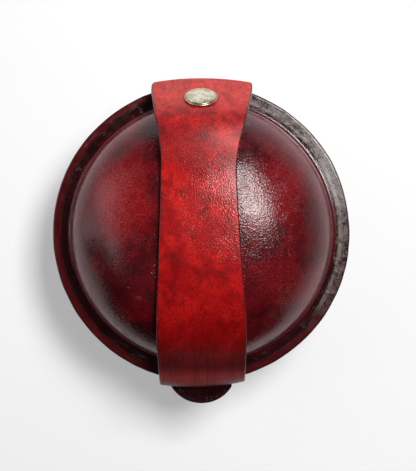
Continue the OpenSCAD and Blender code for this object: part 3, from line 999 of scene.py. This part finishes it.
def strap_paint():
    m = Paint("strap_leather")
    p = m.attr("skin")
    s, x, _ = m.xyz(p)
    rx, ry, rz = m.xyz(m.attr("rest"))
    side = m.attr("side", False)
    rim = m.attr("rim", False)
    over = m.step(s, S_FRONT + 3, S_FRONT - 3)
    big = m.noise(p, 15, 3, 0.6, 0.6)
    mid = m.noise(p, 5.5, 4, 0.62, 0.4, (7, 3, 1))
    small = m.noise(p, 1.4, 3, 0.6, 0.2, (1, 9, 4))
    along = m.noise(p, (26, 1.7, 3), 3, 0.6, 0.3, (3, 2, 8))
    col = m.mix(m.step(big, 0.38, 0.62), (0.585, 0.0105, 0.0085), (0.360, 0.0036, 0.0044))
    col = m.mix(m.mul(m.step(mid, 0.46, 0.70), 0.60), col, (0.140, 0.0020, 0.0034))
    wine = m.noise(p, (13, 9, 9), 4, 0.58, 0.9, (2, 14, 6))
    col = m.mix(m.mul(m.mul(m.step(wine, 0.48, 0.62), over), m.step(ry, 10, -20, 0.36, 0.62)), col, (0.120, 0.0018, 0.0030))
    col = m.mix(m.mul(m.step(small, 0.50, 0.75), 0.16), col, (0.58, 0.014, 0.010))
    # painted shade: the red darkens towards the front, where the strap turns away from the light
    front_shade_paint = m.mul(over, m.step(ry, 4, -34))
    col = m.mix(m.mul(front_shade_paint, 0.42), col, (0.210, 0.0022, 0.0028))
    # the outer end is dry and dulled with dust, and is also painted lighter and paler as a painted sheen from the light
    # behind it
    dust_and_sheen = m.mul(over, m.step(m.add(s, m.mul(m.add(big, -0.5), 14)), 38, 14))
    dust_and_sheen = m.mul(dust_and_sheen, m.step(m.noise(p, 3.4, 4, 0.65, 0.6, (6, 6, 3)), 0.34, 0.62, 0.35, 1.0))
    rub = m.noise(p, (3.6, 1.5, 2), 5, 0.68, 0.5, (8, 2, 5))
    chalk_and_sheen = m.mix(m.step(rub, 0.40, 0.62), (0.360, 0.0340, 0.0280), (0.580, 0.0600, 0.0480))
    chalk_and_sheen = m.mix(m.mul(m.step(mid, 0.50, 0.68), 0.6), chalk_and_sheen, (0.250, 0.0190, 0.0165))
    col = m.mix(m.mul(dust_and_sheen, 0.78), col, chalk_and_sheen)
    # cloudy dark patches behind the snap
    band = m.mul(m.step(s, 24, 30), m.step(s, 47, 38))
    cloud = m.mul(band, m.step(m.noise(p, 7.5, 4, 0.6, 0.8, (11, 5, 2)), 0.44, 0.66))
    col = m.mix(m.mul(cloud, 0.70), col, (0.115, 0.0040, 0.0050))
    # painted shade: the front slope is painted darker where it faces away from the light, with a painted dull brown
    # sheen at the bend
    dark = m.mul(m.step(m.add(m.add(ry, m.mul(m.add(along, -0.5), 18.0)), m.mul(m.add(mid, -0.5), 16.0)), -40, -64), m.step(s, S_FRONT + 22, S_FRONT + 8))
    col = m.mix(m.mul(dark, 0.88), col, (0.030, 0.0018, 0.0028))
    # painted sheen: a dull, lighter brown reflection band on the bend over the front flange
    brown = m.mul(m.step(ry, -58, -66), m.step(m.math("ABSOLUTE", rz), 22, 12))
    brown = m.mul(brown, m.step(along, 0.28, 0.66, 0.45, 1.0))
    col = m.mix(m.mul(brown, 0.84), col, (0.480, 0.038, 0.042))
    # painted highlight: a thin light line along the rounded fold at the front edge
    line = m.mul(m.step(m.math("ABSOLUTE", m.add(rz, -1.4)), 1.1, 0.2), m.step(ry, -66, -69))
    col = m.mix(m.mul(line, 0.35), col, (0.28, 0.13, 0.12))
    # underneath: rubbed darker and browner
    under = m.step(s, S_FRONT + 8, S_FRONT + 26)
    col = m.mix(m.mul(under, m.step(mid, 0.3, 0.7, 0.25, 0.75)), col, (0.105, 0.0075, 0.0085))
    peb = m.cells(p, (1.22, 1.06, 1.22), "DISTANCE_TO_EDGE")
    col = m.mix(m.mul(m.mul(m.step(peb, 0.17, 0.0), 0.56), m.step(dust_and_sheen, 0.8, 0.1, 0.3, 1.0)), col, (0.085, 0.0016, 0.0024))
    # dark burnished edges, flesh side
    edge = m.step(m.add(rim, m.mul(m.add(small, -0.5), 0.5)), 0.75, 0.30)
    col = m.mix(m.mul(edge, 0.88), col, (0.022, 0.0030, 0.0040))
    flesh = m.step(side, -0.2, -0.9)
    fibre = m.noise(p, (2.6, 0.5, 1), 4, 0.7)
    col = m.mix(m.mul(flesh, 0.96), col, m.mix(m.step(fibre, 0.3, 0.7), (0.150, 0.052, 0.038), (0.235, 0.098, 0.068)))
    # grain: fine pebbles, wrinkles, fibres
    tiny = m.cells(p, (0.55, 0.50, 0.55), "SMOOTH_F1", 0.6, (5, 2, 1))
    height = m.add(m.mul(m.step(peb, 0.0, 0.32), 0.95), m.mul(m.step(tiny, 0.6, 0.1), 0.12))
    height = m.mul(height, m.blend(over, 0.7, m.step(m.noise(p, 9, 2, 0.5, 0, (2, 2, 7)), 0.25, 0.75, 0.55, 1.0)))
    height = m.mul(height, m.step(rim, 0.1, 0.9, 0.12, 1.0))
    height = m.blend(flesh, height, m.mul(fibre, 1.4))
    nrm = m.bump(m.noise(p, 4.2, 3, 0.5, 0.4, (9, 1, 5)), 0.045)
    nrm = m.bump(height, 0.044, nrm)
    rough = m.blend(m.step(peb, 0.26, 0.04), 0.21, 0.30)
    rough = m.blend(m.mul(dust_and_sheen, 0.7), rough, 0.38)
    rough = m.blend(m.step(ry, -38, -53), rough, 0.46)
    rough = m.blend(m.mul(m.step(s, 20, 28), m.mul(m.step(s, 56, 46), over)), rough, 0.44)
    rough = m.blend(edge, rough, 0.24)
    rough = m.blend(flesh, rough, 0.9)
    m.set(Base_Color=col, Roughness=rough, Normal=nrm, Specular_IOR_Level=0.26)
    return m.mat


def shell_paint():
    m = Paint("shell_leather")
    p = m.attr("skin")
    x, y, z = m.xyz(p)
    r = m.attr("ring", False)
    high = m.attr("high", False)
    side = m.attr("side", False)
    top = m.step(z, -0.5, 0.5)
    big = m.noise(p, 26, 3, 0.55, 0.7)
    mid = m.noise(p, 10.5, 3, 0.50, 0.5, (4, 8, 2))
    small = m.noise(p, 2.2, 4, 0.65, 0.4, (2, 1, 6))
    col = m.mix(m.step(big, 0.33, 0.68), (0.105, 0.0042, 0.0078), (0.042, 0.0016, 0.0032))
    col = m.mix(m.mul(m.step(mid, 0.44, 0.80), 0.78), col, (0.0130, 0.0010, 0.0017))
    red = m.step(m.noise(p, 14, 3, 0.5, 0.6, (12, 3, 9)), 0.46, 0.74)
    col = m.mix(m.mul(red, 0.75), col, (0.200, 0.0052, 0.0080))
    col = m.mix(m.mul(m.step(small, 0.52, 0.78), 0.30), col, (0.140, 0.0080, 0.0110))
    # soft colour patches, partly mottled dye and partly painted light: lighter red where highlights fall on the upper
    # left, right of the strap and lower right, painted shade on the lower left away from the light
    for cx, cy, ax, ay, c, k in (
            (-34, 14, 17, 24, (0.330, 0.0080, 0.0110), 0.70), (38, -22, 18, 13, (0.160, 0.0060, 0.0090), 0.65),
            (30, 16, 20, 20, (0.230, 0.0060, 0.0085), 0.62), (-42, -26, 16, 14, (0.045, 0.0016, 0.0026), 0.60),
            (-26, -46, 16, 10, (0.014, 0.0010, 0.0018), 0.75), (30, 46, 14, 9, (0.050, 0.0030, 0.0060), 0.50)):
        mottle_and_light_patch = m.spot(m.add(x, m.mul(m.add(mid, -0.5), 16)), m.add(y, m.mul(m.add(big, -0.5), 16)), cx, cy, ax, ay)
        col = m.mix(m.mul(m.mul(mottle_and_light_patch, top), k), col, c)
    # painted sheen: a mauve tint on the dome's steep lower side, standing in for the bright floor reflected there; the
    # same band keeps the grain smoother
    edge = m.mul(m.mul(m.step(r, 50, 59), m.step(r, 62.4, 61.6)), side)
    col = m.mix(m.mul(edge, 0.50), col, (0.125, 0.0090, 0.0210))
    # painted sheen: a paler mauve band at the foot of the dome, where it reflects the bright floor
    painted_rim_sheen = m.mul(m.mul(m.step(r, 59.0, 61.3), m.step(r, 62.2, 61.75)), m.mul(side, m.step(high, 2.6, 4.0)))
    col = m.mix(m.mul(painted_rim_sheen, 0.42), col, (0.320, 0.140, 0.175))
    peb = m.cells(p, 1.32, "DISTANCE_TO_EDGE")
    col = m.mix(m.mul(m.mul(m.step(peb, 0.17, 0.01), 0.62), m.step(edge, 0.9, 0.2)), col, (0.020, 0.0010, 0.0018))
    # fine red veins
    vein = m.step(m.math("ABSOLUTE", m.add(m.noise(p, 5.5, 5, 0.62, 1.3, (3, 7, 1)), -0.5)), 0.020, 0.002)
    veins = m.mul(m.spot(x, y, 27, -21, 20, 15), top)
    col = m.mix(m.mul(m.mul(vein, m.blend(top, 0.3, m.add(m.mul(veins, 0.75), 0.12))), 0.8), col, (0.19, 0.012, 0.016))
    # flange: painted shade in the hollow at the dome's foot, crease, worn ring, burnished rim
    fl = m.mul(m.step(r, 61.6, 62.6), side)
    ragr = m.add(r, m.mul(m.add(small, -0.5), 0.9))
    col = m.mix(m.mul(fl, 0.75), col, m.mix(m.step(mid, 0.35, 0.65), (0.040, 0.0020, 0.0030), (0.010, 0.0010, 0.0014)))
    # painted shade: near-black in the hollow where the dome meets the flange
    foot_shade_paint = m.mul(m.step(ragr, 63.0, 63.9), m.step(ragr, 66.4, 65.7))
    col = m.mix(m.mul(foot_shade_paint, 0.80), col, (0.0070, 0.0018, 0.0018))
    crease = m.mul(m.step(m.math("ABSOLUTE", m.add(r, -66.3)), 0.30, 0.06), m.step(small, 0.35, 0.6, 0.35, 1.0))
    col = m.mix(m.mul(crease, 0.22), col, (0.050, 0.030, 0.028))
    worn = m.mul(m.mul(m.step(ragr, 66.7, 67.6), m.step(ragr, 69.6, 69.0)), side)
    col = m.mix(m.mul(worn, m.step(mid, 0.35, 0.68, 0.10, 0.75)), col, (0.095, 0.0060, 0.0080))
    # a dry, pitted and streaked stretch of the flange on the side towards the key light, painted taupe as a painted
    # sheen
    dry_and_sheen = m.mul(m.mul(m.step(ragr, 64.0, 64.7), side), m.mul(top, m.step(m.add(m.add(x, m.mul(y, 0.55)), m.mul(m.add(big, -0.5), 30)), 26, 50)))
    streak = m.noise(p, (0.7, 0.7, 3), 4, 0.7, 0.3, (5, 5, 5))
    blotch = m.noise(p, 3.0, 4, 0.65, 0.5, (1, 3, 9))
    taupe = m.mix(m.step(m.add(m.mul(streak, 0.5), m.mul(blotch, 0.5)), 0.42, 0.58), (0.010, 0.0055, 0.0055), (0.085, 0.054, 0.048))
    # painted highlight: a lighter grey-beige catch-light along the inner edge of that stretch
    painted_catchlight = m.mul(m.mul(m.step(ragr, 64.2, 64.9), m.step(ragr, 66.8, 65.8)), m.step(blotch, 0.38, 0.58, 0.25, 1.0))
    taupe = m.mix(m.mul(painted_catchlight, 0.75), taupe, (0.190, 0.150, 0.130))
    col = m.mix(m.mul(dry_and_sheen, 0.85), col, taupe)
    rimm = m.mul(m.step(ragr, 69.1, 69.6), side)
    col = m.mix(m.mul(rimm, 0.85), col, (0.0120, 0.0020, 0.0026))
    # scratches and nicks
    scr = m.cells(m.vec(p, 1.0), (11, 0.55, 6), "DISTANCE_TO_EDGE", 0, (3, 1, 1))
    scratch = m.mul(m.step(scr, 0.020, 0.004), m.step(m.noise(p, 12, 2, 0.5, 0, (7, 7, 7)), 0.56, 0.66))
    nick = m.mul(m.step(m.cells(p, 3.1, "F1", 0, (2, 5, 3)), 0.17, 0.08), m.step(m.noise(p, 14, 2, 0.5, 0, (1, 5, 8)), 0.55, 0.66))
    scratch, nick = m.mul(scratch, m.step(fl, 0, 1, 1.0, 0.1)), m.mul(nick, m.step(m.math("SUBTRACT", fl, dry_and_sheen), 0, 1, 1.0, 0.1))
    col = m.mix(m.mul(nick, 0.55), col, (0.115, 0.070, 0.060))
    flesh = m.step(side, 0.7, 0.2)
    fibre = m.noise(p, 0.8, 4, 0.7)
    col = m.mix(flesh, col, m.mix(m.step(fibre, 0.3, 0.7), (0.095, 0.038, 0.028), (0.150, 0.066, 0.048)))
    # grain
    tiny = m.cells(p, 0.62, "SMOOTH_F1", 0.6, (5, 2, 1))
    wrinkle = m.noise(m.vec(p, (0.30, 1.0, 1.0)), 1.8, 3, 0.6, 0.6, (8, 2, 2))
    wmask = m.mul(m.spot(x, y, -27, 8, 12, 12), top)
    h = m.add(m.mul(m.step(peb, 0.0, 0.32), 1.0), m.mul(m.step(tiny, 0.6, 0.1), 0.08))
    h = m.mul(h, m.step(m.noise(p, 10, 3, 0.5, 0, (2, 2, 7)), 0.25, 0.75, 0.50, 1.0))
    h = m.mul(h, m.step(edge, 0.8, 0.1, 0.25, 1.0))
    h = m.add(h, m.mul(m.mul(wmask, wrinkle), 1.1))
    h = m.mul(h, m.step(fl, 0.0, 1.0, 1.0, 0.16))
    h = m.add(h, m.mul(m.mul(dry_and_sheen, m.add(streak, m.mul(blotch, 0.8))), 0.30))
    h = m.add(h, m.mul(m.add(scratch, nick), -1.0))
    h = m.add(h, m.mul(vein, -0.25))
    nrm = m.bump(m.mul(m.noise(p, 5.0, 3, 0.5, 0.4, (9, 1, 5)), m.step(m.add(edge, fl), 0.8, 0.1, 0.2, 1.0)), 0.05)
    nrm = m.bump(h, 0.044, nrm)
    rough = m.blend(m.step(mid, 0.3, 0.7), 0.17, 0.25)
    rough = m.blend(fl, rough, 0.13)
    rough = m.blend(dry_and_sheen, rough, m.blend(m.step(blotch, 0.42, 0.58), 0.13, 0.22))
    rough = m.blend(flesh, rough, 0.9)
    m.set(Base_Color=col, Roughness=rough, Normal=nrm, Specular_IOR_Level=0.36)
    return m.mat


def tab_paint():
    m = Paint("tab_leather")
    p = m.attr("skin")
    x, y, z = m.xyz(p)
    rim = m.attr("rim", False)
    big = m.noise(p, 7, 4, 0.6, 0.6)
    small = m.noise(p, 1.7, 4, 0.65, 0.3, (3, 3, 9))
    col = m.mix(m.step(big, 0.35, 0.65), (0.0050, 0.0007, 0.0011), (0.0130, 0.0011, 0.0018))
    worn = m.mul(m.step(m.add(rim, m.mul(m.add(big, -0.5), 5)), 3.6, 0.8), m.step(small, 0.42, 0.66))
    col = m.mix(m.mul(worn, 0.42), col, (0.060, 0.014, 0.017))
    edge = m.step(rim, 0.55, 0.15)
    col = m.mix(m.mul(edge, 0.7), col, (0.012, 0.0022, 0.0028))
    peb = m.cells(p, 1.2, "SMOOTH_F1", 0.5)
    nrm = m.bump(m.noise(p, 4, 4, 0.6, 0.5, (1, 4, 2)), 0.20)
    rimmed = m.step(m.add(rim, m.mul(m.add(big, -0.5), 5)), 5.0, 2.0, 0.25, 1.0)
    nrm = m.bump(m.mul(m.add(m.mul(m.step(peb, 0.62, 0.05), 0.8), m.mul(small, 1.6)), rimmed), 0.11, nrm)
    m.set(Base_Color=col, Roughness=m.blend(m.step(big, 0.3, 0.7), 0.13, 0.20), Normal=nrm, Specular_IOR_Level=0.28)
    return m.mat


def suede_paint():
    m = Paint("lining_suede")
    p = m.attr("skin")
    big = m.noise(p, 20, 3, 0.55, 0.8)
    nap = m.noise(p, (2.4, 1.1, 1.6), 4, 0.65, 0.8, (4, 4, 1))
    fine = m.noise(p, 0.35, 2, 0.6)
    col = m.mix(m.step(big, 0.35, 0.65), (0.330, 0.205, 0.120), (0.265, 0.155, 0.088))
    col = m.mix(m.mul(m.step(nap, 0.4, 0.7), 0.45), col, (0.195, 0.108, 0.060))
    col = m.mix(m.mul(m.step(fine, 0.45, 0.75), 0.25), col, (0.42, 0.29, 0.19))
    nrm = m.bump(m.add(m.mul(nap, 0.7), m.mul(fine, 0.6)), 0.10)
    m.set(Base_Color=col, Roughness=0.93, Normal=nrm, Specular_IOR_Level=0.2)
    m.bsdf.inputs["Sheen Weight"].default_value = 0.35
    m.bsdf.inputs["Sheen Roughness"].default_value = 0.5
    m.bsdf.inputs["Sheen Tint"].default_value = (0.9, 0.75, 0.6, 1)
    return m.mat


def metal_paint():
    m = Paint("snap_metal")
    p = m.attr("skin")
    r = m.attr("ring", False)
    big = m.noise(p, 4.0, 4, 0.6, 0.5)
    spots = m.noise(p, 1.3, 4, 0.65, 0.4, (4, 1, 1))
    brush = m.noise(p, (0.25, 3.5, 3.5), 3, 0.6)
    col = m.mix(m.step(big, 0.38, 0.64), (0.78, 0.74, 0.60), (0.54, 0.48, 0.33))
    tarnish = m.mul(m.step(spots, 0.54, 0.70), m.step(big, 0.40, 0.60))
    col = m.mix(m.mul(tarnish, 0.55), col, (0.26, 0.17, 0.085))
    # tarnish towards the rim, also painted darker as painted shade standing in for the cap's darker edge reflection
    dull_rim_and_shade = m.mul(m.step(m.add(r, m.mul(m.add(big, -0.5), 5.0)), 3.2, 6.6), m.step(spots, 0.34, 0.58, 0.45, 1.0))
    col = m.mix(m.mul(dull_rim_and_shade, 0.62), col, (0.300, 0.240, 0.125))
    dirt = m.mul(m.step(m.math("ABSOLUTE", m.add(r, -6.88)), 0.25, 0.02), 0.6)
    col = m.mix(dirt, col, (0.16, 0.10, 0.06))
    nrm = m.bump(m.add(m.mul(brush, 0.5), m.mul(spots, 0.8)), 0.030)
    nrm = m.bump(big, 0.20, nrm)
    m.set(Base_Color=col, Metallic=1.0, Roughness=m.blend(m.step(spots, 0.3, 0.7), 0.22, 0.38), Normal=nrm)
    return m.mat


strap_mat, shell_mat, tab_mat, suede_mat, metal_mat = strap_paint(), shell_paint(), tab_paint(), suede_paint(), metal_paint()
for group, mat in ((STRAPS, strap_mat), ([upper, lower], shell_mat), (TABS, tab_mat), (LININGS, suede_mat), (METALS, metal_mat)):
    for ob in group:
        ob.data.materials.clear()
        ob.data.materials.append(mat)


# --------------------------------------------------------------------------
# Floor, light, camera
# --------------------------------------------------------------------------
def make_floor():
    me = bpy.data.meshes.new("floor")
    me.from_pydata([(-3, -3, 0), (3, -3, 0), (3, 3, 0), (-3, 3, 0)], [], [(0, 1, 2, 3)])
    ob = bpy.data.objects.new("floor", me)
    bpy.context.scene.collection.objects.link(ob)
    m = Paint("floor")
    m.set(Base_Color=(0.58, 0.58, 0.58), Roughness=0.8, Specular_IOR_Level=0.2)
    # the floor glows faintly: painted light that lifts the shadows round the box
    m.bsdf.inputs["Emission Color"].default_value = (0.98, 0.99, 1.0, 1)
    m.bsdf.inputs["Emission Strength"].default_value = 0.33
    me.materials.append(m.mat)
    return ob


def lamp(name, direction, distance, size, watts, colour=(1, 1, 1)):
    """A square soft light, seen from the object in that (azimuth from +x, angle from the zenith) direction."""
    az, ze = math.radians(direction[0]), math.radians(direction[1])
    d = Vector((math.sin(ze) * math.cos(az), math.sin(ze) * math.sin(az), math.cos(ze)))
    data = bpy.data.lights.new(name, "AREA")
    data.shape = "RECTANGLE"
    data.size, data.size_y = size
    data.energy = watts
    data.color = colour
    ob = bpy.data.objects.new(name, data)
    ob.location = Vector((0, 0, 0.05)) + d * distance
    across = Vector((0, 1, 0)).cross(d).normalized()
    ob.rotation_euler = Matrix((across, d.cross(across), d)).transposed().to_euler()
    bpy.context.scene.collection.objects.link(ob)
    return ob


def dark_card(name, a, b, height, back=None):
    """A matt black card beside the set, which only shows as a darker reflection. With back it lies flat between two lines."""
    me = bpy.data.meshes.new(name)
    c, d = ((b[0], b[1], height), (a[0], a[1], height)) if back is None else ((*back[1], 0.002), (*back[0], 0.002))
    me.from_pydata([(a[0], a[1], 0.002), (b[0], b[1], 0.002), c, d], [], [(0, 1, 2, 3)])
    ob = bpy.data.objects.new(name, me)
    bpy.context.scene.collection.objects.link(ob)
    m = Paint(name)
    m.set(Base_Color=(0.01, 0.01, 0.01), Roughness=1.0, Specular_IOR_Level=0.0)
    me.materials.append(m.mat)
    ob.visible_camera = False
    ob.visible_shadow = False


make_floor()
dark_card("card_front", (-0.55, -0.40), (0.45, -0.40), 0.45)
dark_card("card_left", (-0.62, -0.02), (-0.55, -0.40), 0.40)
dark_card("card_floor", (-0.22, -0.16), (0.16, -0.175), 0, back=((-0.55, -0.40), (0.40, -0.40)))
lamp("key", (44, 28), 0.80, (0.24, 0.36), 7.9, (1.0, 0.99, 0.98))
lamp("side", (160, 66), 0.9, (0.45, 0.35), 1.0, (1.0, 0.99, 0.99))
lamp("left", (185, 84), 0.9, (1.4, 0.28), 3.0, (1.0, 0.985, 1.0))
lamp("rear", (100, 80), 1.1, (1.8, 0.35), 1.5, (1.0, 1.0, 1.0))
world = bpy.data.worlds.new("world")
bpy.context.scene.world = world
world.use_nodes = True
bg = world.node_tree.nodes["Background"]
sky = world.node_tree
coord = sky.nodes.new("ShaderNodeTexCoord")
parts = sky.nodes.new("ShaderNodeSeparateXYZ")
sky.links.new(coord.outputs["Generated"], parts.inputs[0])


def sky_step(value, a, b, lo, hi):
    n = sky.nodes.new("ShaderNodeMapRange")
    n.interpolation_type = "SMOOTHSTEP"
    sky.links.new(value, n.inputs["Value"])
    for key, v in zip(("From Min", "From Max", "To Min", "To Max"), (a, b, lo, hi)):
        n.inputs[key].default_value = v
    return n.outputs[0]


low_sky = sky_step(parts.outputs["Z"], 0.04, 0.24, 1.0, 0.0)
rear_sky = sky_step(parts.outputs["Y"], -0.55, 0.35, 0.0, 1.0)
band = sky.nodes.new("ShaderNodeMath")
band.operation = "MULTIPLY"
sky.links.new(low_sky, band.inputs[0])
sky.links.new(rear_sky, band.inputs[1])
level = sky.nodes.new("ShaderNodeMath")
level.operation = "MULTIPLY_ADD"
level.inputs[1].default_value = 1.0
level.inputs[2].default_value = 0.05
sky.links.new(band.outputs[0], level.inputs[0])
sky.links.new(level.outputs[0], bg.inputs[1])
bg.inputs[0].default_value = (0.96, 0.97, 1.0, 1)

cam_data = bpy.data.cameras.new("camera")
cam_data.lens = 65.04
cam_data.sensor_width = 36.0
cam_data.clip_start, cam_data.clip_end = 0.01, 20
cam = bpy.data.objects.new("camera", cam_data)
cam.location = (0.0031, -0.0013, 0.44325)
bpy.context.scene.collection.objects.link(cam)
bpy.context.scene.camera = cam
bpy.context.scene.view_settings.view_transform = "Standard"
